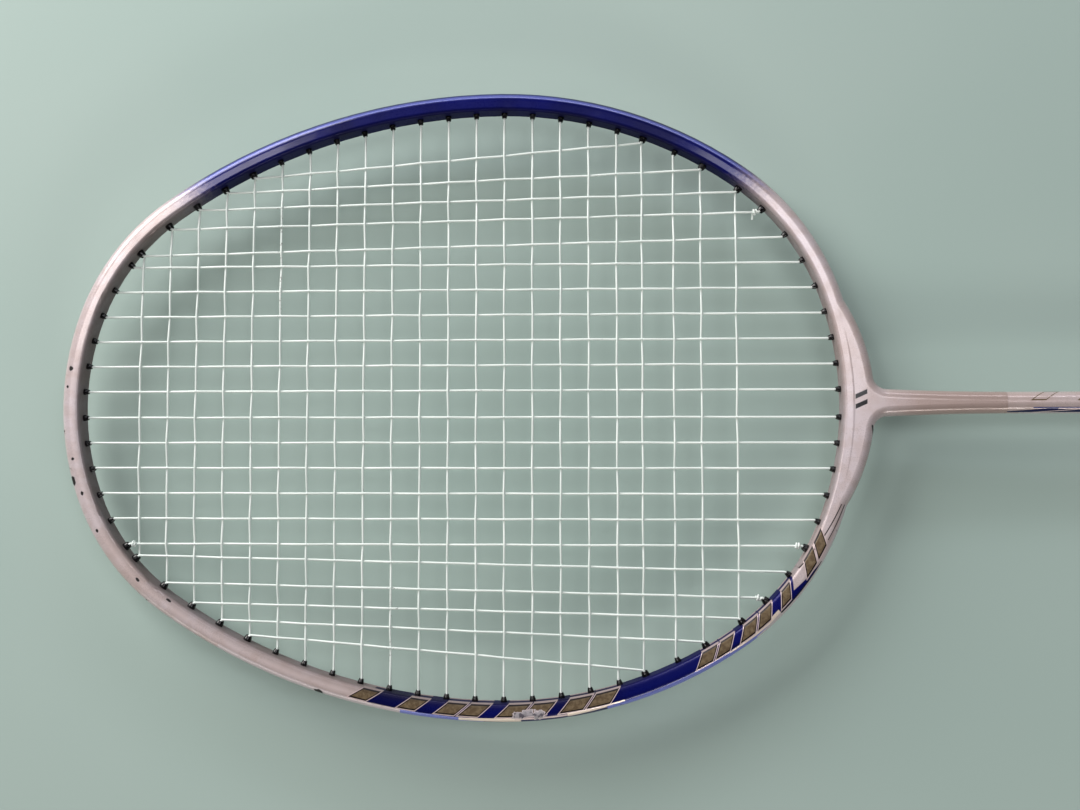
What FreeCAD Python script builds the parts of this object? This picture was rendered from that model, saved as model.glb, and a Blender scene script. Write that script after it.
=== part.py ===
import math
import os

import FreeCAD
import Part
import Sketcher

# A badminton racket, in millimetres.
# Origin: centre of the butt cap's end face, on the axis of the shaft.
# +X runs from the butt to the tip of the head, +Z is square to the string bed and +Y is the left
# side for someone who looks down on the +Z face with the tip pointing away.

DIMENSIONS = [
    # Head
    ("overall_length", 675.0),
    ("head_length", 259.2),
    ("head_width", 203.6),
    ("widest_from_tip", 143.7),
    ("tip_radius", 90.0),
    ("throat_radius", 110.0),
    ("end_turn", 20.0),
    ("shoulder_turn", 35.0),
    ("frame_width", 6.0),
    ("frame_height", 8.8),
    ("frame_shoulder_reach", 3.0),
    ("frame_shoulder_drop", 2.5),
    ("frame_inner_round", 1.2),
    ("frame_wall", 0.9),
    ("hollow_round", 0.6),
    ("groove_width", 3.5),
    ("groove_depth", 1.6),
    # Strings
    ("string_diameter", 0.7),
    ("string_straight", 0.3),
    ("weave_gap", 0.02),
    ("tip_main_gap", 4.25),
    ("tip_main_pitch", 8.22),
    ("throat_main_gap", 4.45),
    ("throat_main_pitch", 8.27),
    ("first_cross", 25.33),
    ("cross_pitch", 9.17),
    ("cross_bow", 0.67),
    ("cross_bow_step", 0.065),
    ("string_wander", 0.12),
    ("long_stub", 2.6),
    ("short_stub", 0.9),
    # Grommets
    ("flange_radius", 1.6),
    ("flange_thickness", 0.35),
    ("single_radius", 1.0),
    ("single_bore", 0.5),
    ("shared_radius", 1.3),
    ("shared_bore", 0.86),
    ("grommet_reach", 1.7),
    ("nozzle_length", 1.0),
    ("nozzle_step", 0.28),
    ("mouth_flare", 0.12),
    ("fit_gap", 0.015),
    # Tee joint and shaft
    ("tee_length", 46.0),
    ("tee_wing_radius", 62.0),
    ("tee_wing_rise", 4.5),
    ("tee_neck_curve", 800.0),
    ("tee_fillet", 4.5),
    ("tee_round", 3.1),
    ("tee_hoop_height", 8.6),
    ("tee_neck_half", 2.7),
    ("tee_slot_reach", 4.5),
    ("spigot_length", 32.0),
    ("shaft_diameter", 7.0),
    ("shaft_bore", 4.4),
    ("shaft_start", 58.0),
    # Handle
    ("core_start", 3.0),
    ("core_end", 172.0),
    ("core_width", 24.0),
    ("core_height", 21.0),
    ("core_bevel", 6.4),
    ("butt_width", 28.0),
    ("butt_height", 25.0),
    ("butt_bevel", 7.4),
    ("butt_straight", 9.0),
    ("butt_flare_end", 30.0),
    ("core_neck_diameter", 17.0),
    ("core_neck_end", 186.0),
    ("core_plug_diameter", 10.0),
    ("core_plug_depth", 15.0),
    ("grip_start", 5.0),
    ("grip_end", 166.0),
    ("grip_taper", 7.0),
    ("grip_thickness", 1.7),
    ("grip_thin", 0.5),
    ("grip_edge_round", 2.2),
    ("band_start", 156.0),
    ("band_end", 177.0),
    ("band_thickness", 0.4),
    ("band_edge_round", 2.6),
    ("cone_start", 174.0),
    ("cone_end", 216.0),
    ("cone_base_diameter", 25.6),
    ("cone_tip_diameter", 9.2),
    ("cone_curve", 56.0),
    ("cone_wall", 1.2),
    ("cap_rim_end", 5.0),
    ("cap_round", 1.6),
    ("badge_diameter", 17.0),
    ("badge_thickness", 0.8),
    ("badge_round", 0.2),
]

MAINS = 22
CROSSES = 22
REGULAR_CROSSES = 18
THROAT_CROSS_STEPS = (8.2, 10.25, 8.85, 11.4)
TIP_SINGLE_RANKS = 6
THROAT_SHARED_CROSS = {8: 22, 9: 21, 10: 19}
FLARE_STEPS = 6

# The head's sweep starts at this angle of its outline, between two holes.
SEAM_DEGREES = 97.0
# Blanks and cutters reach at least this far beyond what they cut, and the tee lies within TEE_REACH.
CUT_MARGIN = 10.0
TEE_REACH = 60.0

doc = FreeCAD.newDocument("BadmintonRacket")
sheet = doc.addObject("Spreadsheet::Sheet", "Dimensions")
for row, (alias, value) in enumerate(DIMENSIONS, start=1):
    sheet.set("A%d" % row, alias)
    sheet.set("B%d" % row, str(value))
    sheet.setAlias("B%d" % row, alias)
doc.recompute()


def dim(alias):
    return float(sheet.get(alias))


def vector(x, y, z=0.0):
    return FreeCAD.Vector(x, y, z)


# ---------------------------------------------------------------- sketches and bodies


def new_body(label):
    body = doc.addObject("PartDesign::Body", label)
    body.Label = label
    return body


def new_sketch(body, name, role, offset="0"):
    """A sketch on one of the body's origin planes, moved along its normal by an expression."""
    sketch = body.newObject("Sketcher::SketchObject", name)
    plane = [item for item in body.Origin.OriginFeatures if item.Role == role][0]
    sketch.AttachmentSupport = [(plane, "")]
    sketch.MapMode = "FlatFace"
    sketch.setExpression(".AttachmentOffset.Base.z", offset)
    return sketch


def pin_point(sketch, geometry, end, point):
    """Fix one end of a sketch line at (factor, alias) pairs read from the sheet."""
    for kind, terms in (("DistanceX", point[0]), ("DistanceY", point[1])):
        value = sum(factor * dim(alias) for factor, alias in terms)
        text = " + ".join("%s * Dimensions.%s" % (factor, alias) for factor, alias in terms)
        index = sketch.addConstraint(Sketcher.Constraint(kind, -1, 1, geometry, end, value))
        sketch.setExpression("Constraints[%d]" % index, text)


def place(point):
    return vector(*[sum(factor * dim(alias) for factor, alias in terms) for terms in point])


def outline(sketch, points):
    """A closed outline with its corners pinned to the sheet.

    A point is (x terms, y terms), or has a third item (radius alias, side) when an arc leads to
    the next point: side +1 puts the arc's centre to the left of the way there, -1 to the right."""
    corners = [place(point[:2]) for point in points]
    ends = []
    for index, point in enumerate(points):
        start, end = corners[index], corners[(index + 1) % len(corners)]
        if len(point) == 2:
            geometry = sketch.addGeometry(Part.LineSegment(start, end), False)
            ends.append((geometry, 1, 2))
        else:
            alias, side = point[2]
            half = (end - start) * 0.5
            depth = math.sqrt(dim(alias) ** 2 - half.Length ** 2)
            centre = start + half + vector(-half.y, half.x).normalize() * (side * depth)
            first, last = (start, end) if side > 0 else (end, start)
            turns = [math.atan2(at.y - centre.y, at.x - centre.x) for at in (first, last)]
            round_line = Part.Circle(centre, vector(0, 0, 1), dim(alias))
            geometry = sketch.addGeometry(Part.ArcOfCircle(round_line, *turns), False)
            size = sketch.addConstraint(Sketcher.Constraint("Radius", geometry, dim(alias)))
            sketch.setExpression("Constraints[%d]" % size, "Dimensions." + alias)
            ends.append((geometry, 1, 2) if side > 0 else (geometry, 2, 1))
    for index, point in enumerate(points):
        pin_point(sketch, ends[index][0], ends[index][1], point)
        following = ends[(index + 1) % len(points)]
        sketch.addConstraint(Sketcher.Constraint("Coincident", ends[index][0], ends[index][2],
                                                 following[0], following[1]))


def circle(sketch, radius_alias, factor):
    index = sketch.addGeometry(Part.Circle(vector(0, 0), vector(0, 0, 1), factor * dim(radius_alias)), False)
    sketch.addConstraint(Sketcher.Constraint("Coincident", index, 3, -1, 1))
    size = sketch.addConstraint(Sketcher.Constraint("Radius", index, factor * dim(radius_alias)))
    sketch.setExpression("Constraints[%d]" % size, "%s * Dimensions.%s" % (factor, radius_alias))


def octagon(sketch, flare, grow=(), corner_round=None):
    """The handle's octagon about the X axis: flare 0 is its grip size and 1 its butt size.

    grow lists (factor, alias) pairs added all round; corner_round names the corners' radius."""

    def blend(factor, size):
        return [(factor * (1 - flare), "core_" + size), (factor * flare, "butt_" + size)]

    def minus(terms):
        return [(-factor, alias) for factor, alias in terms]

    side = blend(0.5, "width") + list(grow)
    top = blend(0.5, "height") + list(grow)
    bevel_side = side + blend(-1, "bevel")
    bevel_top = top + blend(-1, "bevel")
    corners = [
        (side, bevel_top),
        (bevel_side, top),
        (minus(bevel_side), top),
        (minus(side), bevel_top),
        (minus(side), minus(bevel_top)),
        (minus(bevel_side), minus(top)),
        (bevel_side, minus(top)),
        (side, minus(bevel_top)),
    ]
    if corner_round is None:
        outline(sketch, corners)
        return
    reach = math.tan(math.radians(22.5))
    points = []
    for index, (across, up) in enumerate(corners):
        arriving = math.radians(90 + 45 * index)
        leaving = arriving + math.radians(45)
        points.append((across + [(-reach * math.cos(arriving), corner_round)],
                       up + [(-reach * math.sin(arriving), corner_round)],
                       (corner_round, 1)))
        points.append((across + [(reach * math.cos(leaving), corner_round)],
                       up + [(reach * math.sin(leaving), corner_round)]))
    outline(sketch, points)


def loft(body, name, kind, stations, corner_round=None):
    """A straight-sided loft through octagons at stations (offset expression, flare, grow)."""
    sketches = []
    for number, (offset, flare, grow) in enumerate(stations):
        sketch = new_sketch(body, "%s_%d" % (name, number), "YZ_Plane", offset)
        octagon(sketch, flare, grow, corner_round)
        sketches.append(sketch)
    feature = body.newObject(kind, name)
    feature.Profile = sketches[0]
    feature.Sections = sketches[1:]
    feature.Ruled = True
    return feature


def flare_stations(start, end, grow):
    """Stations of the handle from start, through its flared butt, to end."""
    stations = [(start, 1, grow)]
    for step in range(FLARE_STEPS + 1):
        share = step / FLARE_STEPS
        offset = ("Dimensions.butt_straight + %s * (Dimensions.butt_flare_end"
                  " - Dimensions.butt_straight)" % share)
        stations.append((offset, (1 + math.cos(math.pi * share)) / 2, grow))
    stations.append((end, 0, grow))
    return stations


def revolve(body, name, kind, points, role="XZ_Plane", axis="H_Axis"):
    sketch = new_sketch(body, name + "_profile", role)
    outline(sketch, points)
    feature = body.newObject(kind, name)
    feature.Profile = sketch
    feature.ReferenceAxis = (sketch, [axis])
    feature.Angle = 360
    return feature


def add_feature(label, shape):
    feature = doc.addObject("Part::Feature", label)
    feature.Label = label
    feature.Shape = shape
    PARTS.append(feature)


# ---------------------------------------------------------------- head outline


def solve_half(end_radius, length):
    """Three tangent arcs from an end of the head to its widest point: their radii.

    The end arc's radius is given; the other two make the half head as long and as wide as asked."""
    first = math.radians(dim("end_turn"))
    second = first + math.radians(dim("shoulder_turn"))
    a, b = math.cos(first), math.cos(second)
    c, d = math.sin(first) - 1, math.sin(second) - 1
    p = end_radius - length
    q = dim("head_width") / 2 - end_radius
    determinant = a * d - b * c
    u = (p * d - b * q) / determinant
    v = (a * q - p * c) / determinant
    return [end_radius, end_radius - u, end_radius - u - v]


def half_head():
    """The +Y half of the head's outer outline as arcs (last angle, centre x, centre y, radius)."""
    first = dim("end_turn")
    second = first + dim("shoulder_turn")
    tip = solve_half(dim("tip_radius"), dim("widest_from_tip"))
    throat = solve_half(dim("throat_radius"), dim("head_length") - dim("widest_from_tip"))
    radii = tip + throat[::-1]
    ends = [first, second, 90.0, 180.0 - second, 180.0 - first, 180.0]
    arcs = []
    x, y = dim("overall_length") - radii[0], 0.0
    for index, (end, radius) in enumerate(zip(ends, radii)):
        arcs.append((end, x, y, radius))
        if index + 1 < len(radii):
            step = radius - radii[index + 1]
            x += step * math.cos(math.radians(end))
            y += step * math.sin(math.radians(end))
    return arcs


HALF_HEAD = half_head()
THROAT_X = dim("overall_length") - dim("head_length")
THROAT_CENTRE = vector(THROAT_X + dim("throat_radius"), 0)
# The strings bend just inside the grommets, at this offset from the head's outer surface.
MOUTH_OFFSET = -dim("frame_width") - dim("grommet_reach") - dim("string_straight")


def head_point(angle, offset=0.0, z=0.0):
    """A point whose outward normal is at angle to +X, offset outwards from the outer surface."""
    size = abs(angle)
    side = 1 if angle >= 0 else -1
    for end, x, y, radius in HALF_HEAD:
        if size <= end + 1e-9:
            break
    turn = math.radians(size)
    reach = radius + offset
    return vector(x + reach * math.cos(turn), side * (y + reach * math.sin(turn)), z)


def normal(angle):
    turn = math.radians(angle)
    return vector(math.cos(turn), math.sin(turn), 0)


def head_wire(offset):
    """The closed outline of the head at an offset from its outer surface, as tangent arcs."""
    corners = [0.0] + [arc[0] for arc in HALF_HEAD]
    full = corners + [-angle for angle in corners[-2:0:-1]] + [0.0]
    edges = []
    for start, end in zip(full, full[1:]):
        if start == 180.0:
            start = -180.0
        points = [head_point(angle, offset) for angle in (start, (start + end) / 2, end)]
        edges.append(Part.Arc(*points).toShape())
    return Part.Wire(edges)


def find_angle(coordinate, value, low, high):
    """The angle between low and high at which the line of string bends has this x or y."""

    def miss(angle):
        point = head_point(angle, MOUTH_OFFSET)
        return (point.x if coordinate == "x" else point.y) - value

    rising = miss(high) > miss(low)
    for _ in range(60):
        middle = (low + high) / 2
        if (miss(middle) > 0) == rising:
            high = middle
        else:
            low = middle
    return (low + high) / 2


# ---------------------------------------------------------------- string pattern


def cross_positions():
    positions = [dim("first_cross") + index * dim("cross_pitch") for index in range(REGULAR_CROSSES)]
    for step in THROAT_CROSS_STEPS:
        positions.append(positions[-1] + step)
    return [dim("overall_length") - position for position in positions]


CROSS_X = cross_positions()


def cross_angle(cross, side):
    """The hole of cross string 1 (tip) to 22 (throat), on side +1 (+Y) or -1."""
    return side * find_angle("x", CROSS_X[cross - 1], 0.0, 180.0)


def main_side_and_rank(main):
    """Main strings 1 to 22 run from -Y to +Y; the rank counts outwards from the middle pair."""
    half = MAINS // 2
    if main <= half:
        return -1, half - main
    return 1, main - half - 1


def tip_angle(main):
    side, rank = main_side_and_rank(main)
    if rank >= TIP_SINGLE_RANKS:
        return cross_angle(rank - TIP_SINGLE_RANKS + 1, side)
    reach = dim("tip_main_gap") + rank * dim("tip_main_pitch")
    return side * find_angle("y", reach, 0.0, 90.0)


def throat_angle(main):
    side, rank = main_side_and_rank(main)
    if rank in THROAT_SHARED_CROSS:
        return cross_angle(THROAT_SHARED_CROSS[rank], side)
    reach = dim("throat_main_gap") + rank * dim("throat_main_pitch")
    return side * find_angle("y", reach, 90.0, 180.0)


TIP_ANGLES = {main: tip_angle(main) for main in range(1, MAINS + 1)}
THROAT_ANGLES = {main: throat_angle(main) for main in range(1, MAINS + 1)}
CROSS_ANGLES = {(cross, side): cross_angle(cross, side)
                for cross in range(1, CROSSES + 1) for side in (1, -1)}
TIP_SHARED = {cross for cross in range(1, MAINS // 2 - TIP_SINGLE_RANKS + 1)}
SHARED_CROSSES = TIP_SHARED | set(THROAT_SHARED_CROSS.values())

# Four strings are knotted off beside a main string: the main's number and its end of the head.
TIE_OFFS = {("throat", 4), ("throat", 19), ("throat", 17), ("tip", 17)}

STRING_RADIUS = dim("string_diameter") / 2
FLANGE_TOP = -dim("groove_depth") + dim("flange_thickness")
LANE_OFFSET = FLANGE_TOP + STRING_RADIUS + 0.15
TAIL_LANE_OFFSET = LANE_OFFSET + 0.08
PAIR_Z = 0.4
TAIL_Z = 1.16
CROSSING_MARGIN = 0.8

# A knot: the gap round its host, its start, the way to its first corner, its advance per corner,
# its corners in one turn and in all, and how its two kinds of bend and its stub are shaped.
KNOT_SLACK = 0.06
KNOT_LEAD = 0.35
KNOT_RUN_IN = 0.45
KNOT_CLIMB = 0.098
KNOT_TURN = 8
KNOT_CORNERS = 12
KNOT_BEND = 0.4
KNOT_TURN_BEND = 0.6
STUB_LEAN = 0.25
LOOP_RADIUS = 0.6
MOUTH_RADIUS = 1.2
WEAVE_RADIUS = 4.0
LANE_RADIUS = 6.0
WEAVE_Z = STRING_RADIUS + dim("weave_gap") / 2 + 0.028


def main_height(main, end):
    """The height at which a main string passes its hole."""
    if (end, main) in {("throat", 4), ("throat", 19)}:
        return -PAIR_Z
    if (end, main) in TIE_OFFS:
        return PAIR_Z
    rank = main_side_and_rank(main)[1]
    shared = rank >= TIP_SINGLE_RANKS if end == "tip" else rank in THROAT_SHARED_CROSS
    return PAIR_Z if shared else 0.0


def cross_height(cross):
    return -PAIR_Z if cross in SHARED_CROSSES else 0.0


def mouth(angle, z=0.0):
    return head_point(angle, MOUTH_OFFSET, z)


def crossing(main, cross):
    """Where a main and a cross string cross, or None. The crosses near the tip bow towards it."""
    start, end = mouth(TIP_ANGLES[main]), mouth(THROAT_ANGLES[main])
    left, right = mouth(CROSS_ANGLES[cross, 1]), mouth(CROSS_ANGLES[cross, -1])
    bow = max(0.0, dim("cross_bow") - dim("cross_bow_step") * (cross - 1))
    x = left.x
    for _ in range(4):
        share = (start.x - x) / (start.x - end.x)
        y = start.y + (end.y - start.y) * share
        x = left.x + bow * (1 - (y / left.y) ** 2)
    margin = CROSSING_MARGIN
    if not (end.x + margin < x < start.x - margin and right.y + margin < y < left.y - margin):
        return None
    wander = dim("string_wander")
    x += wander * math.sin(1.7 * main + 2.3 * cross)
    y += wander * 0.5 * math.sin(2.9 * main + 1.3 * cross)
    over = 1 if (main + cross) % 2 == 0 else -1
    return vector(x, y, over * WEAVE_Z)


CROSSINGS = {(main, cross): crossing(main, cross)
             for main in range(1, MAINS + 1) for cross in range(1, CROSSES + 1)}


def across_bed(first, last, crossings):
    """The run of one string through its two holes. first and last are (angle, z)."""
    stops = [(head_point(first[0], LANE_OFFSET, first[1]), LOOP_RADIUS)]
    stops.append((mouth(*first), MOUTH_RADIUS))
    stops += [(point, WEAVE_RADIUS) for point in crossings if point is not None]
    stops.append((mouth(*last), MOUTH_RADIUS))
    stops.append((head_point(last[0], LANE_OFFSET, last[1]), LOOP_RADIUS))
    return stops


def main_run(main, towards_throat):
    tip = (TIP_ANGLES[main], main_height(main, "tip"))
    throat = (THROAT_ANGLES[main], main_height(main, "throat"))
    crossings = []
    for cross in range(1, CROSSES + 1):
        point = CROSSINGS[main, cross]
        crossings.append(point)
    stops = across_bed(tip, throat, crossings)
    return stops if towards_throat else stops[::-1]


def cross_run(cross, towards_right):
    """The run of a cross string from +Y to -Y, or back. Its weave is the mains' turned over."""
    z = cross_height(cross)
    crossings = []
    for main in range(MAINS, 0, -1):
        point = CROSSINGS[main, cross]
        if point is not None:
            point = vector(point.x, point.y, -point.z)
        crossings.append(point)
    stops = across_bed((CROSS_ANGLES[cross, 1], z), (CROSS_ANGLES[cross, -1], z), crossings)
    return stops if towards_right else stops[::-1]


def knot(host_angle, host_z, host_next, tail_z, turn_side, stub_length):
    """A tail comes in through the host's hole, winds round the host and ends in a stub.

    host_next is the host's first crossing. turn_side says to which side the tail turns first;
    the stub points to the other side."""
    start = mouth(host_angle, host_z)
    along = host_next - start
    length = along.Length
    flat = vector(along.x, along.y).normalize()
    across = vector(-flat.y, flat.x) * turn_side
    up = vector(0, 0, 1 if tail_z > host_z else -1)
    ring = 2 * STRING_RADIUS + KNOT_SLACK
    step = 360 / KNOT_TURN
    corner = ring / math.cos(math.radians(step / 2))

    def host_at(distance):
        return start + along * (distance / length)

    stops = [(mouth(host_angle, tail_z), KNOT_BEND), (host_at(KNOT_LEAD) + up * ring, KNOT_BEND)]
    for index in range(KNOT_CORNERS):
        turn = math.radians(90 - step / 2 - step * index)
        centre = host_at(KNOT_LEAD + KNOT_RUN_IN + KNOT_CLIMB * index)
        reach = across * (corner * math.cos(turn)) + up * (corner * math.sin(turn))
        stops.append((centre + reach, KNOT_TURN_BEND))
    end = stops[-1][0] - across * stub_length + flat * STUB_LEAN
    stops.append((end, 0.0))
    return stops


def tail(start, lanes, host, knot_stops):
    """From an end of a string in its hole, along the groove's edge lane, to the host's hole."""
    stops = []
    for angle in lanes:
        stops.append((head_point(angle, TAIL_LANE_OFFSET, start), LANE_RADIUS))
    stops.append((head_point(host[0], LANE_OFFSET, host[1]), LOOP_RADIUS))
    return stops + knot_stops


def rounded_wire(stops):
    """Straight runs through the stops, joined by tangent arcs of each stop's radius."""
    edges = []
    position = stops[0][0]
    for index in range(1, len(stops) - 1):
        before, (corner, radius), after = stops[index - 1][0], stops[index], stops[index + 1][0]
        arriving = (corner - before).normalize()
        leaving = (after - corner).normalize()
        turn = arriving.getAngle(leaving)
        if turn < 1e-5:
            continue
        reach = radius * math.tan(turn / 2)
        start, end = corner - arriving * reach, corner + leaving * reach
        bisector = (leaving - arriving).normalize()
        middle = corner + bisector * (radius / math.cos(turn / 2) - radius)
        run = start - position
        if run.dot(arriving) < 0:
            raise ValueError("stop %d at %s leaves no room for its arc: %s" % (index, corner, run))
        if run.Length > 1e-6:
            edges.append(Part.LineSegment(position, start).toShape())
        edges.append(Part.Arc(start, middle, end).toShape())
        position = end
    edges.append(Part.LineSegment(position, stops[-1][0]).toShape())
    return Part.Wire(edges)


def string_solid(stops):
    path = rounded_wire(stops)
    direction = (stops[1][0] - stops[0][0]).normalize()
    section = Part.Wire(Part.Circle(stops[0][0], direction, STRING_RADIUS).toShape())
    solid = path.makePipeShell([section], True, True)
    expected = math.pi * STRING_RADIUS ** 2 * path.Length
    print("string length %.0f mm, volume %.1f against %.1f" % (path.Length, solid.Volume, expected))
    return solid


def first_crossing(main, end):
    crosses = range(1, CROSSES + 1) if end == "tip" else range(CROSSES, 0, -1)
    for cross in crosses:
        if CROSSINGS[main, cross] is not None:
            return CROSSINGS[main, cross]


def tie_off(main, end, lane_z, lanes, stub_side, stub):
    """The tail that ends in a knot on this main string. stub names the stub's length."""
    angle = (THROAT_ANGLES if end == "throat" else TIP_ANGLES)[main]
    host_z = main_height(main, end)
    tail_z = -host_z
    stops = knot(angle, host_z, first_crossing(main, end), tail_z, stub_side, dim(stub))
    return tail(lane_z, lanes, (angle, tail_z), stops)


def make_main_string():
    lanes_right = [CROSS_ANGLES[20, -1], CROSS_ANGLES[21, -1], CROSS_ANGLES[22, -1]]
    lanes_left = [CROSS_ANGLES[20, 1], CROSS_ANGLES[21, 1], CROSS_ANGLES[22, 1]]
    stops = tie_off(4, "throat", TAIL_Z, lanes_right, -1, "long_stub")[::-1]
    for main in range(1, MAINS + 1):
        stops += main_run(main, main % 2 == 0)
    stops += tie_off(19, "throat", TAIL_Z, lanes_left, 1, "short_stub")
    return string_solid(stops)


def make_cross_string():
    lanes_start = [THROAT_ANGLES[19], THROAT_ANGLES[18]]
    stops = tie_off(17, "throat", -TAIL_Z, lanes_start, -1, "short_stub")[::-1]
    for cross in range(CROSSES, 0, -1):
        stops += cross_run(cross, cross % 2 == 0)
    stops += tie_off(17, "tip", -PAIR_Z, [], -1, "short_stub")
    return string_solid(stops)


# ---------------------------------------------------------------- head frame


def arc_through(start, end, centre, radius):
    """An arc about centre from start to end, the short way round."""
    middle = (start + end) * 0.5 - centre
    middle = centre + middle.normalize() * radius
    return Part.Arc(start, middle, end).toShape()


def frame_section(angle, with_groove):
    """The closed outer profile of the head's tube, square to its outline at angle.

    Its shoulders are arcs that leave the flat faces smoothly and meet the outer face at an angle."""
    half = dim("frame_height") / 2
    width, inner = dim("frame_width"), dim("frame_inner_round")
    reach, drop = dim("frame_shoulder_reach"), dim("frame_shoulder_drop")
    shoulder = (reach ** 2 + drop ** 2) / (2 * drop)
    groove, depth = dim("groove_width") / 2, dim("groove_depth")

    def at(offset, z):
        return head_point(angle, offset, z)

    edges = []
    if with_groove:
        rim = [at(0, half - drop), at(0, groove), at(-depth, groove),
               at(-depth, -groove), at(0, -groove), at(0, drop - half)]
        edges += [Part.LineSegment(a, b).toShape() for a, b in zip(rim, rim[1:])]
    else:
        edges.append(Part.LineSegment(at(0, half - drop), at(0, drop - half)).toShape())
    edges.append(arc_through(at(0, drop - half), at(-reach, -half),
                             at(-reach, shoulder - half), shoulder))
    edges.append(Part.LineSegment(at(-reach, -half), at(inner - width, -half)).toShape())
    edges.append(arc_through(at(inner - width, -half), at(-width, inner - half),
                             at(inner - width, inner - half), inner))
    edges.append(Part.LineSegment(at(-width, inner - half), at(-width, half - inner)).toShape())
    edges.append(arc_through(at(-width, half - inner), at(inner - width, half),
                             at(inner - width, half - inner), inner))
    edges.append(Part.LineSegment(at(inner - width, half), at(-reach, half)).toShape())
    edges.append(arc_through(at(-reach, half), at(0, half - drop),
                             at(-reach, half - shoulder), shoulder))
    return Part.Wire(edges)


def hollow_section(angle):
    """The profile of the tube's hollow: a wall's thickness inside the tube and its groove."""
    wall = dim("frame_wall")
    half = dim("frame_height") / 2 - wall
    outer_edge = -dim("groove_depth") - wall
    inner_edge = wall - dim("frame_width")
    corner = dim("hollow_round")
    corners = [(outer_edge, half), (inner_edge, half), (inner_edge, -half), (outer_edge, -half)]
    edges = []
    for index, (offset, z) in enumerate(corners):
        before, after = corners[index - 1], corners[(index + 1) % 4]
        point = vector(offset, z)
        towards = (vector(*before) - point).normalize() * corner
        onwards = (vector(*after) - point).normalize() * corner
        start, end, centre = point + towards, point + onwards, point + towards + onwards
        edges.append(arc_through(head_point(angle, start.x, start.y), head_point(angle, end.x, end.y),
                                 head_point(angle, centre.x, centre.y), corner))
        following = vector(*after) - onwards
        edges.append(Part.LineSegment(head_point(angle, end.x, end.y),
                                      head_point(angle, following.x, following.y)).toShape())
    return Part.Wire(edges)


def sweep_head(section):
    return head_wire(-dim("frame_width") / 2).makePipeShell([section], True, True)


def hole_cutter(angle, radius):
    start = head_point(angle, -dim("frame_width") - 1)
    return Part.makeCylinder(radius, dim("frame_width") + 2, start, normal(angle))


def hole_groups():
    """Every grommet hole: node label to a list of (angle, size)."""
    groups = {
        "grommets_tip": [(TIP_ANGLES[main], "single") for main in range(6, 17)],
        "grommets_throat": [(THROAT_ANGLES[main], "single") for main in list(range(5, 17)) + [18]],
        "grommets_tie_off": [(TIP_ANGLES[17], "shared"), (THROAT_ANGLES[17], "shared"),
                             (THROAT_ANGLES[4], "shared"), (THROAT_ANGLES[19], "shared")],
    }
    for side, name in ((1, "left"), (-1, "right")):
        shoulder, middle, corner = [], [], []
        for cross in range(1, CROSSES + 1):
            size = "shared" if cross in SHARED_CROSSES else "single"
            group = shoulder if cross in TIP_SHARED else middle
            if cross > REGULAR_CROSSES:
                group = corner
            group.append((CROSS_ANGLES[cross, side], size))
        groups["grommets_shoulder_" + name] = shoulder
        groups["grommets_side_" + name] = middle
        groups["grommets_corner_" + name] = corner
    return groups


HOLES = hole_groups()


def make_head_frame():
    """The hollow tube with its outer string groove and a hole for each grommet."""
    grooved = sweep_head(frame_section(SEAM_DEGREES, True))
    hollow = sweep_head(hollow_section(SEAM_DEGREES))
    frame = grooved.cut(hollow)
    cutters = []
    for holes in HOLES.values():
        for angle, size in holes:
            cutters.append(hole_cutter(angle, dim(size + "_radius") + dim("fit_gap")))
    return frame.cut(cutters).removeSplitter().Solids[0]


# ---------------------------------------------------------------- tee joint


def meeting(first, first_radius, second, second_radius, side):
    """A point where two circles meet. side +1 picks the one to the left of the way between them."""
    between = second - first
    distance = between.Length
    along = (distance ** 2 + first_radius ** 2 - second_radius ** 2) / (2 * distance)
    across = math.sqrt(first_radius ** 2 - along ** 2)
    forwards = vector(between.x, between.y).normalize()
    return first + forwards * along + vector(-forwards.y, forwards.x) * (side * across)


def tee_plan():
    """The tee's outline in plan: two wings along the head, fillets, and a neck to the shaft."""
    centre, radius = THROAT_CENTRE, dim("throat_radius")
    band = dim("frame_width") / 2
    end_x = THROAT_X - dim("tee_length")
    neck_end = vector(end_x, dim("shaft_diameter") / 2)
    wing_radius, neck_radius = dim("tee_wing_radius"), dim("tee_neck_curve")
    wing_centre = vector(THROAT_X - dim("tee_wing_rise") + wing_radius, 0)
    wing_tip = meeting(wing_centre, wing_radius, centre, radius, 1)
    inner_tip = centre + (wing_tip - centre).normalize() * (radius - band)
    neck_centre = neck_end + vector(0, neck_radius)
    fillet = dim("tee_fillet")
    fillet_centre = meeting(wing_centre, wing_radius + fillet, neck_centre, neck_radius - fillet, 1)
    wing_end = fillet_centre + (wing_centre - fillet_centre).normalize() * fillet
    neck_start = fillet_centre + (fillet_centre - neck_centre).normalize() * fillet

    def mirrored(point):
        return vector(point.x, -point.y)

    inner_middle = centre - vector(radius - band, 0)
    edges = [Part.Arc(mirrored(inner_tip), inner_middle, inner_tip).toShape()]
    half = [
        Part.LineSegment(inner_tip, wing_tip).toShape(),
        arc_through(wing_tip, wing_end, wing_centre, wing_radius),
        arc_through(wing_end, neck_start, fillet_centre, fillet),
        arc_through(neck_start, neck_end, neck_centre, neck_radius),
    ]
    edges += half + [edge.mirror(vector(0, 0), vector(0, 1)) for edge in half]
    edges.append(Part.LineSegment(neck_end, mirrored(neck_end)).toShape())
    return Part.Face(Part.Wire(Part.__sortEdges__(edges)))


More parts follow.
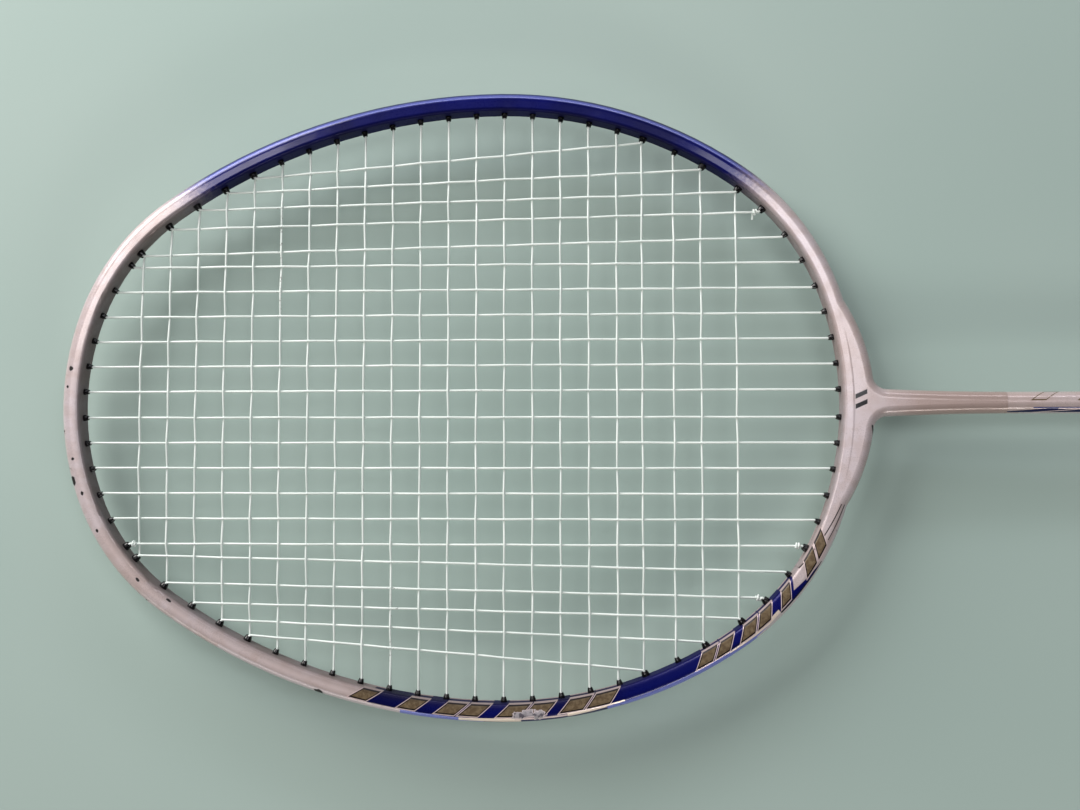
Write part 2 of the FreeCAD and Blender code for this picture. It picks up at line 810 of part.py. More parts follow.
def make_tee(solid_head):
    """Wings and neck cut to the head's outer surface, a string slot each side, and a spigot."""
    deep = dim("frame_height")
    plan = tee_plan().translated(vector(0, 0, -deep)).extrude(vector(0, 0, 2 * deep))
    end_x = THROAT_X - dim("tee_length")
    head_x = THROAT_X + dim("frame_width")
    end_z, head_z = dim("shaft_diameter") / 2, dim("tee_hoop_height") / 2
    slope = (head_z - end_z) / (THROAT_X - end_x)
    far_x = head_x + CUT_MARGIN
    far_z = end_z + slope * (far_x - end_x)
    corners = [(end_x, end_z), (far_x, far_z), (far_x, -far_z), (end_x, -end_z)]
    side = Part.Face(Part.makePolygon([vector(x, -TEE_REACH, z) for x, z in corners + corners[:1]]))
    blank = plan.common(side.extrude(vector(0, 2 * TEE_REACH, 0)))
    radius = dim("throat_radius")
    long_edges = []
    for edge in blank.Edges:
        middle = edge.valueAt((edge.FirstParameter + edge.LastParameter) / 2)
        level = abs(abs(middle.z) - (end_z + slope * (middle.x - end_x))) < 1e-3
        outside = (vector(middle.x, middle.y) - THROAT_CENTRE).Length > radius + 1e-3
        if level and outside and middle.x > end_x + 0.5:
            long_edges.append(edge)
    rounded = blank.makeFillet(dim("tee_round"), long_edges)
    ring = Part.makeCylinder(radius + dim("tee_slot_reach"), dim("groove_width"),
                             THROAT_CENTRE - vector(0, 0, dim("groove_width") / 2))
    neck_half = dim("tee_neck_half")
    slots = []
    for y in (neck_half, -neck_half - TEE_REACH):
        corner = vector(THROAT_X - TEE_REACH / 2, y, -deep / 2)
        slots.append(ring.common(Part.makeBox(TEE_REACH, TEE_REACH, deep, corner)))
    spigot = Part.makeCylinder(dim("shaft_bore") / 2 - dim("fit_gap"), dim("spigot_length") + 1,
                               vector(end_x + 1, 0), vector(-1, 0, 0))
    return rounded.cut([solid_head] + slots).fuse(spigot).removeSplitter().Solids[0]


# ---------------------------------------------------------------- grommets


def make_grommet_template(size):
    """One grommet as a body about Z: Z is outwards and 0 is the head's outer surface."""
    body = new_body("grommet_template_" + size)
    bore = [(1, size + "_bore")]
    flared = bore + [(1, "mouth_flare")]
    barrel = [(1, size + "_radius")]
    nozzle = barrel + [(-1, "nozzle_step")]
    flange = [(1, "flange_radius")]
    top = [(-1, "groove_depth"), (1, "flange_thickness")]
    floor = [(-1, "groove_depth")]
    step = [(-1, "frame_width"), (-1, "grommet_reach"), (1, "nozzle_length")]
    end = [(-1, "frame_width"), (-1, "grommet_reach")]
    end_inside = end + [(2, "mouth_flare")]
    top_inside = top + [(-1, "mouth_flare")]
    revolve(body, "turned", "PartDesign::Revolution", [
        (bore, top_inside), (flared, top), (flange, top), (flange, floor), (barrel, floor),
        (barrel, step), (nozzle, end), (flared, end), (bore, end_inside),
    ], axis="V_Axis")
    return body


def add_grommets(templates):
    for label, holes in HOLES.items():
        copies = []
        for angle, size in holes:
            copy = templates[size].Shape.copy()
            rotation = FreeCAD.Rotation(vector(0, 0, 1), normal(angle))
            copy.Placement = FreeCAD.Placement(head_point(angle), rotation)
            copies.append(copy)
        add_feature(label, Part.makeCompound(copies))


# ---------------------------------------------------------------- shaft and handle


def make_shaft():
    body = new_body("shaft")
    sketch = new_sketch(body, "shaft_ring", "YZ_Plane", "Dimensions.shaft_start")
    circle(sketch, "shaft_diameter", 0.5)
    circle(sketch, "shaft_bore", 0.5)
    pad = body.newObject("PartDesign::Pad", "shaft_tube")
    pad.Profile = sketch
    pad.setExpression("Length", "Dimensions.overall_length - Dimensions.head_length"
                                " - Dimensions.tee_length - Dimensions.shaft_start")
    return body


def make_handle_core():
    """The wooden octagon, flared at the butt, with a round neck inside the cone cap."""
    body = new_body("handle_core")
    loft(body, "octagon", "PartDesign::AdditiveLoft",
         flare_stations("Dimensions.core_start", "Dimensions.core_end", ()))
    neck_sketch = new_sketch(body, "neck_circle", "YZ_Plane", "Dimensions.core_end")
    circle(neck_sketch, "core_neck_diameter", 0.5)
    neck = body.newObject("PartDesign::Pad", "neck")
    neck.Profile = neck_sketch
    neck.setExpression("Length", "Dimensions.core_neck_end - Dimensions.core_end")
    revolve(body, "shaft_socket", "PartDesign::Groove", [
        ([(1, "shaft_start")], [(0, "fit_gap")]),
        ([(1, "shaft_start")], [(0.5, "shaft_diameter"), (1, "fit_gap")]),
        ([(1, "core_neck_end"), (1, "badge_thickness")], [(0.5, "shaft_diameter"), (1, "fit_gap")]),
        ([(1, "core_neck_end"), (1, "badge_thickness")], [(0, "fit_gap")]),
    ])
    revolve(body, "plug_socket", "PartDesign::Groove", [
        ([(0, "fit_gap")], [(0, "fit_gap")]),
        ([(0, "fit_gap")], [(0.5, "core_plug_diameter"), (1, "fit_gap")]),
        ([(1, "core_start"), (1, "core_plug_depth")], [(0.5, "core_plug_diameter"), (1, "fit_gap")]),
        ([(1, "core_start"), (1, "core_plug_depth")], [(0, "fit_gap")]),
    ])
    return body


def make_grip():
    """The grip as one sleeve over the core, thinned where it ends under the finishing band."""
    body = new_body("grip")
    taper_start = "Dimensions.grip_end - Dimensions.grip_taper"
    loft(body, "outside", "PartDesign::AdditiveLoft",
         flare_stations("Dimensions.grip_start", taper_start, ((1, "grip_thickness"),))
         + [("Dimensions.grip_end", 0, ((1, "grip_thin"),))], "grip_edge_round")
    loft(body, "inside", "PartDesign::SubtractiveLoft",
         flare_stations("Dimensions.grip_start - Dimensions.fit_gap",
                        "Dimensions.grip_end + Dimensions.fit_gap", ((1, "fit_gap"),)))
    return body


def make_finishing_band():
    """Tape over the end of the grip and the start of the cone cap."""
    body = new_body("finishing_band")
    over_grip = ((1, "grip_thickness"), (1, "band_thickness"))
    over_end = ((1, "grip_thin"), (1, "band_thickness"))
    grip_gap = ((1, "grip_thickness"), (1, "fit_gap"))
    end_gap = ((1, "grip_thin"), (1, "fit_gap"))
    taper_start = "Dimensions.grip_end - Dimensions.grip_taper"
    loft(body, "outside", "PartDesign::AdditiveLoft", [
        ("Dimensions.band_start", 0, over_grip),
        (taper_start, 0, over_grip),
        ("Dimensions.grip_end", 0, over_end),
        ("Dimensions.band_end", 0, over_end),
    ], "band_edge_round")
    loft(body, "inside", "PartDesign::SubtractiveLoft", [
        ("Dimensions.band_start - Dimensions.fit_gap", 0, grip_gap),
        (taper_start, 0, grip_gap),
        ("Dimensions.grip_end", 0, end_gap),
        ("Dimensions.band_end + Dimensions.fit_gap", 0, end_gap),
    ], "grip_edge_round")
    return body


def make_cone_cap():
    """The cap between grip and shaft: octagonal where it meets the grip, round at the shaft."""
    body = new_body("cone_cap")
    loft(body, "octagon", "PartDesign::AdditiveLoft", [
        ("Dimensions.grip_end + Dimensions.fit_gap", 0, ((1, "grip_thin"),)),
        ("Dimensions.cone_end", 0, ((1, "grip_thin"),)),
    ], "grip_edge_round")
    outer = [(0.5, "cone_base_diameter")]
    tip = [(0.5, "cone_tip_diameter")]
    far = [(1, "cone_base_diameter")]
    middle = [(0.5, "cone_start"), (0.5, "cone_end")]
    before_base = [(1, "grip_end"), (-1, "cone_wall")]
    past_tip = [(1, "cone_end"), (1, "cone_wall")]
    revolve(body, "cone_outside", "PartDesign::Groove", [
        (before_base, far),
        (before_base, outer),
        ([(1, "cone_start")], outer, ("cone_curve", -1)),
        (middle, [(0.25, "cone_base_diameter"), (0.25, "cone_tip_diameter")], ("cone_curve", 1)),
        ([(1, "cone_end")], tip),
        (past_tip, tip),
        (past_tip, far),
    ])
    loft(body, "core_socket", "PartDesign::SubtractiveLoft", [
        ("Dimensions.grip_end - Dimensions.cone_wall", 0, ((1, "fit_gap"),)),
        ("Dimensions.core_end + Dimensions.fit_gap", 0, ((1, "fit_gap"),)),
    ])
    neck = [(0.5, "core_neck_diameter"), (1, "fit_gap")]
    shaft = [(0.5, "shaft_diameter"), (1, "fit_gap")]
    axis = [(0, "fit_gap")]
    revolve(body, "neck_socket", "PartDesign::Groove", [
        ([(1, "core_end")], axis),
        ([(1, "core_end")], neck),
        ([(1, "core_neck_end"), (1, "fit_gap")], neck),
        ([(1, "core_neck_end"), (1, "fit_gap")], shaft),
        (past_tip, shaft),
        (past_tip, axis),
    ])
    return body


def make_butt_cap():
    """The moulded end plate with its plug in the core and a recess for the badge."""
    body = new_body("butt_cap")
    loft(body, "plate", "PartDesign::AdditiveLoft", [
        ("0", 1, ((1, "grip_thickness"), (-1, "cap_round"))),
        ("0.3 * Dimensions.cap_round", 1, ((1, "grip_thickness"), (-0.3, "cap_round"))),
        ("Dimensions.cap_round", 1, ((1, "grip_thickness"),)),
        ("Dimensions.cap_rim_end", 1, ((1, "grip_thickness"),)),
    ], "grip_edge_round")
    loft(body, "core_seat", "PartDesign::SubtractiveLoft", [
        ("Dimensions.core_start", 1, ((1, "fit_gap"),)),
        ("Dimensions.cap_rim_end + Dimensions.fit_gap", 1, ((1, "fit_gap"),)),
    ])
    plug_sketch = new_sketch(body, "plug_circle", "YZ_Plane", "Dimensions.core_start")
    circle(plug_sketch, "core_plug_diameter", 0.5)
    plug = body.newObject("PartDesign::Pad", "plug")
    plug.Profile = plug_sketch
    plug.setExpression("Length", "Dimensions.core_plug_depth - Dimensions.badge_thickness")
    recess_radius = [(0.5, "badge_diameter"), (1, "fit_gap")]
    before_face, recess_floor = [(-1, "fit_gap")], [(1, "badge_thickness")]
    axis = [(0, "fit_gap")]
    revolve(body, "badge_recess", "PartDesign::Groove", [
        (before_face, axis),
        (before_face, recess_radius),
        (recess_floor, recess_radius),
        (recess_floor, axis),
    ])
    return body


def make_end_badge():
    body = new_body("end_badge")
    face_radius = [(0.5, "badge_diameter"), (-1, "badge_round")]
    revolve(body, "disc", "PartDesign::Revolution", [
        ([(0, "fit_gap")], [(0, "fit_gap")]),
        ([(0, "fit_gap")], face_radius),
        ([(1, "badge_round")], [(0.5, "badge_diameter")]),
        ([(1, "badge_thickness")], [(0.5, "badge_diameter")]),
        ([(1, "badge_thickness")], [(0, "fit_gap")]),
    ])
    return body


# ---------------------------------------------------------------- assembly and export


PARTS = [
    make_shaft(), make_handle_core(), make_grip(), make_finishing_band(),
    make_cone_cap(), make_butt_cap(), make_end_badge(),
]
GROMMET_TEMPLATES = {size: make_grommet_template(size) for size in ("single", "shared")}
doc.recompute()

add_feature("head_frame", make_head_frame())
add_feature("tee_joint", make_tee(sweep_head(frame_section(SEAM_DEGREES, False))))
add_feature("main_string", make_main_string())
add_feature("cross_string", make_cross_string())
add_grommets(GROMMET_TEMPLATES)
doc.recompute()

for item in doc.Objects:
    if "Invalid" in item.State or "Error" in item.State:
        raise RuntimeError("%s did not recompute: %s" % (item.Label, item.State))
for part in PARTS:
    if part.Shape.isNull() or not part.Shape.isValid():
        raise RuntimeError("%s has no valid shape" % part.Label)

os.makedirs("parts", exist_ok=True)
for part in PARTS:
    part.Shape.exportStep("parts/%s.step" % part.Label)
    print("%-26s %d solid(s) %10.1f mm3" % (part.Label, len(part.Shape.Solids), part.Shape.Volume))
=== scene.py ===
"""Looks for the badminton racket: paint, strings, wrapped grip, floor, lights and camera.

Everything is in metres in the row frame, except where a name ends in _mm or a comment says so."""
import math

import bmesh
import bpy
from mathutils import Matrix, Vector


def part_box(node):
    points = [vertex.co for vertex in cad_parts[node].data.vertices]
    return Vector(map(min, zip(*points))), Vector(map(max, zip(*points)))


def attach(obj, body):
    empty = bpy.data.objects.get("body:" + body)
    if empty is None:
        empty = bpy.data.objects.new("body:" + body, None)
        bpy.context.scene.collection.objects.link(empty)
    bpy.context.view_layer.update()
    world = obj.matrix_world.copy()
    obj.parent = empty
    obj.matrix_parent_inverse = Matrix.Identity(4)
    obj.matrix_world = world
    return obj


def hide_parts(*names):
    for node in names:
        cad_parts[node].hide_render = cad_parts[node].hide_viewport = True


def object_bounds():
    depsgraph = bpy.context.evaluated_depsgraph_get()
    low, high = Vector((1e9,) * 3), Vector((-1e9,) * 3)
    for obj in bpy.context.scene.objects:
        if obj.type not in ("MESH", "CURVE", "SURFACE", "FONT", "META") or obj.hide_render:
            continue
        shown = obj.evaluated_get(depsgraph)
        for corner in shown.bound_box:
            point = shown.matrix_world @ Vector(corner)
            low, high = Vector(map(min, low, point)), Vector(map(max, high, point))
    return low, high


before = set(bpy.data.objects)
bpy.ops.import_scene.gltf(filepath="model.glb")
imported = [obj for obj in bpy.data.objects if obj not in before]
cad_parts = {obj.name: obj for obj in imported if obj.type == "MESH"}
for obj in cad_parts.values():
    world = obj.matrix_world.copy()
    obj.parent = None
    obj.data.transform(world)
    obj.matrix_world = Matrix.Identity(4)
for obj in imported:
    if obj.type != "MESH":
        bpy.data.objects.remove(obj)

CAD_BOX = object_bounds()
MM = 0.001

# Colours are linear RGB.
PEARL = (0.50, 0.415, 0.405)
PEARL_WARM = (0.42, 0.325, 0.295)
PEARL_COOL = (0.55, 0.485, 0.505)
# A darker copy of the pearl, used as painted shade on the tee and the shaft.
PEARL_IN_SHADE = (0.33, 0.250, 0.225)
CREAM = (0.82, 0.70, 0.60)
ROYAL = (0.0016, 0.0035, 0.100)
NAVY = (0.0014, 0.0022, 0.050)
# Lavender for painted highlight on the blue's outer shoulder, and for the lavender streaks along the
# left's outer edge, which are partly paint.
LAVENDER_HIGHLIGHT = (0.17, 0.20, 0.56)
GOLD = (0.118, 0.082, 0.048)
GOLD_LIGHT = (0.20, 0.150, 0.090)
INK = (0.006, 0.005, 0.006)
PINK_LINE = (0.66, 0.53, 0.52)
# Undercoat where chips go through, and also the dark used for painted shade in the groove, on the
# inner wall and round the tip.
UNDERCOAT_AND_SHADE = (0.020, 0.018, 0.018)
BARE_GREY = (0.34, 0.32, 0.34)
BARE_DARK = (0.10, 0.09, 0.11)


# ---------------------------------------------------------------- materials as expressions

def plug(tree, socket, value):
    """Gives a node's input a number, a colour, or another node's output."""
    if isinstance(value, Value):
        tree.links.new(value.socket, socket)
    elif isinstance(value, tuple) and len(value) == 3 and socket.type == "RGBA":
        socket.default_value = value + (1.0,)
    else:
        socket.default_value = value


class Value:
    """A node's output. Arithmetic on it adds nodes to its tree."""

    def __init__(self, tree, socket):
        self.tree = tree
        self.socket = socket

    def math(self, operation, *others):
        node = self.tree.nodes.new("ShaderNodeMath")
        node.operation = operation
        for socket, value in zip(node.inputs, (self,) + others):
            plug(self.tree, socket, value)
        return Value(self.tree, node.outputs[0])

    def __add__(self, other):
        return self.math("ADD", other)

    def __sub__(self, other):
        return self.math("SUBTRACT", other)

    def __mul__(self, other):
        return self.math("MULTIPLY", other)

    def least(self, other):
        return self.math("MINIMUM", other)

    def most(self, other):
        return self.math("MAXIMUM", other)

    def size(self):
        return self.math("ABSOLUTE")

    def inverse(self):
        """One minus this."""
        return (self * -1.0) + 1.0

    def rise(self, low, high):
        """0 below low, 1 above high, and smooth between them."""
        node = self.tree.nodes.new("ShaderNodeMapRange")
        node.interpolation_type = "SMOOTHSTEP"
        plug(self.tree, node.inputs["Value"], self)
        plug(self.tree, node.inputs["From Min"], low)
        plug(self.tree, node.inputs["From Max"], high)
        return Value(self.tree, node.outputs[0])

    def above(self, edge, soft=0.08):
        return self.rise(edge - soft, edge + soft)

    def below(self, edge, soft=0.08):
        return self.above(edge, soft).inverse()

    def within(self, low, high, soft=0.08):
        return self.above(low, soft) * self.below(high, soft)


class Finish:
    """One procedural material: a Principled shader and the expressions that feed it."""

    def __init__(self, name):
        self.material = bpy.data.materials.new(name)
        self.material.use_nodes = True
        self.tree = self.material.node_tree
        self.shader = self.tree.nodes["Principled BSDF"]
        coordinates = self.tree.nodes.new("ShaderNodeTexCoord")
        self.point = Value(self.tree, coordinates.outputs["Object"])
        split = self.tree.nodes.new("ShaderNodeSeparateXYZ")
        self.tree.links.new(self.point.socket, split.inputs[0])
        self.x, self.y, self.z = (Value(self.tree, axis) * (1 / MM) for axis in split.outputs)

    def vector(self, x, y, z):
        node = self.tree.nodes.new("ShaderNodeCombineXYZ")
        for socket, value in zip(node.inputs, (x, y, z)):
            plug(self.tree, socket, value)
        return Value(self.tree, node.outputs[0])

    def noise(self, per_metre, detail=2.0, roughness=0.5, point=None):
        node = self.tree.nodes.new("ShaderNodeTexNoise")
        plug(self.tree, node.inputs["Vector"], point or self.point)
        node.inputs["Scale"].default_value = per_metre
        node.inputs["Detail"].default_value = detail
        node.inputs["Roughness"].default_value = roughness
        return Value(self.tree, node.outputs["Fac"])

    def cells(self, per_metre, feature="F1"):
        """How far each point is from the nearest of many scattered centres."""
        node = self.tree.nodes.new("ShaderNodeTexVoronoi")
        node.feature = feature
        plug(self.tree, node.inputs["Vector"], self.point)
        node.inputs["Scale"].default_value = per_metre
        return Value(self.tree, node.outputs["Distance"])

    def mix(self, factor, first, second, kind="RGBA"):
        node = self.tree.nodes.new("ShaderNodeMix")
        node.data_type = kind
        inputs = [socket for socket in node.inputs if socket.enabled]
        for socket, value in zip(inputs, (factor, first, second)):
            plug(self.tree, socket, value)
        output = next(socket for socket in node.outputs if socket.enabled)
        return Value(self.tree, output)

    def choose(self, factor, first, second):
        """A number: first where factor is 0 and second where it is 1."""
        return self.mix(factor, first, second, "FLOAT")

    def bump(self, height, depth_mm, strength=1.0, under=None):
        node = self.tree.nodes.new("ShaderNodeBump")
        node.inputs["Distance"].default_value = depth_mm * MM
        node.inputs["Strength"].default_value = strength
        plug(self.tree, node.inputs["Height"], height)
        if under is not None:
            plug(self.tree, node.inputs["Normal"], under)
        return Value(self.tree, node.outputs[0])

    def put(self, **inputs):
        """Feeds the shader. An input's name has _ for each space."""
        for name, value in inputs.items():
            plug(self.tree, self.shader.inputs[name.replace("_", " ")], value)
        return self.material


def give(material, *names):
    """Puts a material on CAD nodes."""
    for name in names:
        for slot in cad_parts[name].material_slots:
            slot.material = material


# ---------------------------------------------------------------- the hoop's own coordinates

TIP_X_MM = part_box("head_frame")[1].x / MM
# Each half of the outline is six tangent arcs: the outward normal's last angle, and the radius.
HOOP_TURNS = (20, 55, 90, 125, 160, 180)
HOOP_RADII_MM = (90.0, 75.81, 192.68, 137.12, 82.53, 110.0)


def hoop_arcs():
    """The arcs as (first angle, centre x, centre y, radius, length so far), radians and mm."""
    arcs = []
    x, y, start, first = TIP_X_MM - HOOP_RADII_MM[0], 0.0, 0.0, 0.0
    following = HOOP_RADII_MM[1:] + HOOP_RADII_MM[-1:]
    for last_degrees, radius, next_radius in zip(HOOP_TURNS, HOOP_RADII_MM, following):
        arcs.append((first, x, y, radius, start))
        last = math.radians(last_degrees)
        start += radius * (last - first)
        x += (radius - next_radius) * math.cos(last)
        y += (radius - next_radius) * math.sin(last)
        first = last
    return arcs


def hoop_coordinates(finish):
    """How far along the outline from the tip, and how far in from the outer surface, in mm."""
    across = finish.y.size()
    along = inset = None
    for first, x, y, radius, start in hoop_arcs():
        east = finish.x - x
        north = across - y
        turn = north.math("ARCTAN2", east)
        here_along = (turn - first) * radius + start
        here_inset = (east * east + north * north).math("SQRT") * -1.0 + radius
        if along is None:
            along, inset = here_along, here_inset
        else:
            past = turn.math("GREATER_THAN", first)
            along = finish.choose(past, along, here_along)
            inset = finish.choose(past, inset, here_inset)
    return along, inset


# ---------------------------------------------------------------- paint

def pearl(finish):
    """Champagne-white pearl: broad clouds of tint, fine flake."""
    clouds = finish.noise(28, 3).rise(0.35, 0.68)
    fine = finish.noise(260, 3).rise(0.40, 0.62)
    colour = finish.mix(clouds, PEARL, PEARL_COOL)
    return finish.mix(fine * 0.35, colour, PEARL_WARM)


def lacquer(finish, colour, wear, gloss=0.27, matt=0.0):
    """A clear coat over colour, with flake, fine scratches and a slight ripple; wear is bare."""
    flake = finish.cells(2600)
    scratches = finish.noise(1, 4, 0.7, finish.vector(finish.x * 0.35, finish.y * 4.0, finish.z * 2.2))
    scuffs = finish.noise(95, 5, 0.65).rise(0.50, 0.72)
    roughness = flake * 0.10 + scratches * 0.10 + scuffs * 0.10 + (gloss - 0.08)
    ripple = finish.noise(420, 2) * 0.35 + scratches * 0.10 + flake * 0.06
    normal = finish.bump(wear.inverse(), 0.12, 0.9, under=finish.bump(ripple, 0.02, 0.35))
    return finish.put(
        Base_Color=colour,
        Roughness=finish.choose(wear, roughness, 0.62),
        Metallic=finish.choose(wear, 0.18, 0.0),
        Specular_IOR_Level=finish.choose(matt, 0.15, 0.0),
        Coat_Weight=finish.choose(wear.most(matt), 0.45, 0.0),
        Coat_Roughness=finish.choose(scuffs, 0.06, 0.20),
        Normal=normal,
    )


# Where the airbrushed blue fades in and out along the right, and the navy along the left, in mm.
BLUE_IN_MM = (74, 96)
BLUE_OUT_MM = (275, 297)
NAVY_MM = (151, 303)
NAVY_TO_ROYAL_MM = (228, 242)

# Slanted bars painted on the left of the hoop: (start along the outline, width), in mm.
BARS_MM = (
    (148.3, 5.0), (164.3, 5.0), (176.6, 5.6), (184.2, 5.6), (196.6, 6.4), (205.0, 6.4),
    (217.0, 6.8), (225.8, 7.0), (263.6, 5.0), (270.6, 4.4), (280.0, 5.0), (287.0, 4.6),
    (297.4, 3.6), (310.4, 5.0), (317.4, 4.6),
)
BAR_SLANT = 1.1
BAR_MIDDLE_MM = 3.85
BAR_HALF_MM = 1.5
BAR_OUTLINE_MM = 0.46
BAR_HALO_MM = 0.34


def bars(along, inset, spans, middle, half, slant):
    """How far outside the nearest slanted bar a point is, in mm: negative is inside."""
    leaning = along - (inset - middle) * slant
    nearest = None
    for start, width in spans:
        gap = (leaning - (start + width / 2)).size() - width / 2
        nearest = gap if nearest is None else nearest.least(gap)
    return nearest.most((inset - middle).size() - half)


def stripe(along, across, start, end, low, high, soft=0.12):
    """A streak from start to end. low and high are its edges, each at its start and at its end."""
    share = (along - start) * (1 / (end - start))
    bottom = share * (low[1] - low[0]) + low[0]
    top = share * (high[1] - high[0]) + high[0]
    inside = (across - bottom).rise(-soft, soft) * (top - across).rise(-soft, soft)
    return inside * along.within(start, end, 0.2)


# Streaks and slashes on the left of the hoop: (first and last place along the outline, the outer
# edge's inset at each, the inner edge's inset at each, tint), in mm. OFF runs past the outer edge.
# The pale and lavender streaks that run past the outer edge are partly paint and partly painted
# highlight on the outer round.
OFF = (-2, -2)
STREAKS_AND_EDGE_HIGHLIGHTS_MM = (
    (100, 168, OFF, (1.9, 1.7), PEARL_COOL),
    (163, 190, OFF, (1.6, 1.2), LAVENDER_HIGHLIGHT),
    (182, 202, (0.4, 0.2), (1.3, 1.7), CREAM),
    (200, 217, (0.9, 0.7), (1.5, 1.3), PINK_LINE),
    (217, 236, (0.5, 1.3), (1.6, 1.9), CREAM),
    (230, 292, OFF, (1.3, 1.7), LAVENDER_HIGHLIGHT),
    (273, 294, (1.2, 1.0), (1.6, 2.6), CREAM),
    (283, 300, OFF, (0.6, 2.0), PEARL_COOL),
    (292, 345, OFF, (1.1, 1.0), PEARL_COOL),
    (302, 330, (1.1, 1.1), (1.4, 1.2), PINK_LINE),
    (270, 296, (1.9, 2.9), (2.2, 2.95), INK),
    (294, 314, (1.1, 0.9), (4.4, 1.0), ROYAL),
    (294, 315, (1.0, 0.7), (1.5, 1.0), INK),
    (309, 342, (5.6, 0.9), (6.0, 1.2), INK),
    (322, 338, (2.0, 0.7), (2.3, 1.0), INK),
    (337, 347, OFF, (0.2, 0.5), INK),
)

# Chips: (place along the outline, negative on the right half; inset; size along; size across), mm.
CHIPS_MM = (
    (-12.1, 2.5, 0.8, 0.6), (-5.9, 2.0, 0.45, 0.4), (18.5, 2.6, 0.5, 0.5), (25.5, 0.9, 1.5, 0.9),
    (30.5, 2.8, 0.6, 0.5), (44.2, 2.5, 0.6, 0.4), (65.7, 3.6, 0.8, 0.4), (78.5, 5.0, 0.8, 0.4),
    (136.0, 0.5, 1.5, 0.8),
)
BIG_CHIP_MM = ((201.2, 2.4, 2.0, 1.2), (204.4, 2.9, 2.4, 1.3), (208.0, 2.3, 2.2, 1.5))


def chip_reach(signed_along, inset, chips, ragged):
    """How far from the nearest chip's middle a point is: 1 at its ragged edge."""
    nearest = None
    for place, depth, length, width in chips:
        east = (signed_along - place) * (1 / length)
        north = (inset - depth) * (1 / width)
        reach = (east * east + north * north).math("SQRT")
        nearest = reach if nearest is None else nearest.least(reach)
    return nearest + ragged


GROOVE_INSET_MM = (0.25, 1.9)
GROOVE_HALF_MM = 1.8
# Where the hoop's inner wall begins and ends, and the painted shade round the tip, in mm.
WALL_INSET_MM = (4.8, 6.0)
TIP_SHADE_INSET_MM = (3.2, 6.0)
TIP_SHADE_MM = (235, 120)


def head_paint():
    finish = Finish("head_paint_look")
    along, inset = hoop_coordinates(finish)
    left = finish.y.above(0.0)
    right = left.inverse()
    signed_along = along * finish.y.math("SIGN")
    height = finish.z.size()

    colour = pearl(finish)

    # The right side is deep blue, airbrushed into the pearl at each end.
    speckle = finish.noise(900, 2) * 10.0 - 5.0
    sprayed = along + speckle
    blue_right = sprayed.rise(*BLUE_IN_MM) * sprayed.rise(*BLUE_OUT_MM).inverse() * right
    blue = finish.mix(finish.noise(45, 2).rise(0.3, 0.7), ROYAL, NAVY)
    # A painted highlight: the blue turns lavender in a band on its outer shoulder.
    painted_highlight_band = inset.within(1.0, 2.0, 0.35) * height.above(2.0, 0.4) * 0.55
    colour = finish.mix(blue_right, colour, finish.mix(painted_highlight_band, blue, LAVENDER_HIGHLIGHT))

    # The left side is navy behind a row of slanted bars, with streaks along its outer edge, partly
    # paint and partly painted highlight.
    start_edge = along - (inset - BAR_MIDDLE_MM) * BAR_SLANT
    navy_left = start_edge.within(*NAVY_MM, 0.25) * left
    royal_left = finish.mix(along.rise(*NAVY_TO_ROYAL_MM), blue, ROYAL)
    colour = finish.mix(navy_left, colour, royal_left)
    for first, last, low, high, tint in STREAKS_AND_EDGE_HIGHLIGHTS_MM:
        colour = finish.mix(stripe(along, inset, first, last, low, high) * left, colour, tint)

    outside = bars(along, inset, BARS_MM, BAR_MIDDLE_MM, BAR_HALF_MM, BAR_SLANT)
    facing = left * height.above(1.6, 0.2)
    gold = finish.mix(finish.noise(700, 3).rise(0.35, 0.7), GOLD, GOLD_LIGHT)
    colour = finish.mix(outside.below(BAR_OUTLINE_MM + BAR_HALO_MM, 0.1) * facing, colour, PINK_LINE)
    colour = finish.mix(outside.below(BAR_OUTLINE_MM, 0.1) * facing, colour, INK)
    colour = finish.mix(outside.below(0.0, 0.1) * facing, colour, gold)

    # Painted shade darkens the recess the strings run in.
    painted_groove_shade = inset.within(*GROOVE_INSET_MM, 0.12) * height.below(GROOVE_HALF_MM, 0.1)
    colour = finish.mix(painted_groove_shade * 0.55, colour, UNDERCOAT_AND_SHADE)

    # Knocks along the outer edge, through to the undercoat, and one big chip with a pale rim.
    ragged = finish.noise(900, 3) * 1.3 - 0.65
    top_edge = height.above(0.6, 0.2)
    small = chip_reach(signed_along, inset, CHIPS_MM, ragged)
    nicks_place = finish.noise(210, 4, 0.7).rise(0.665, 0.70)
    nicks = nicks_place * inset.below(1.7, 0.5) * inset.above(-0.5, 0.2)
    worn = (small.below(1.0, 0.08).most(nicks)) * top_edge
    colour = finish.mix(small.within(0.9, 1.25, 0.08) * top_edge * 0.5, colour, BARE_GREY)
    colour = finish.mix(worn, colour, UNDERCOAT_AND_SHADE)
    big = chip_reach(signed_along, inset, BIG_CHIP_MM, ragged * 1.1)
    bare = big.below(1.0, 0.06) * top_edge
    flaked = finish.mix(finish.noise(650, 4).rise(0.45, 0.6), BARE_GREY, BARE_DARK)
    colour = finish.mix(bare, colour, flaked)
    colour = finish.mix(big.within(0.84, 1.04, 0.06) * top_edge, colour, PEARL_COOL)

    # The inner wall is matt and painted darker as shade, and the inner side of the pearl round the tip
    # gets painted shade.
    wall = inset.rise(*WALL_INSET_MM)
    colour = finish.mix(wall * 0.4, colour, UNDERCOAT_AND_SHADE)
    far_from_tip, near_tip = (TIP_X_MM - distance for distance in TIP_SHADE_MM)
    shade = inset.rise(*TIP_SHADE_INSET_MM) * finish.x.rise(far_from_tip, near_tip)
    colour = finish.mix(shade * blue_right.inverse() * 0.4, colour, UNDERCOAT_AND_SHADE)
    return lacquer(finish, colour, worn.most(bare * 0.8), matt=wall)


# The tee's own two bars: (start across the tee, width), in mm.
BADGE_BARS_MM = ((-3.4, 1.5), (-0.2, 1.5))


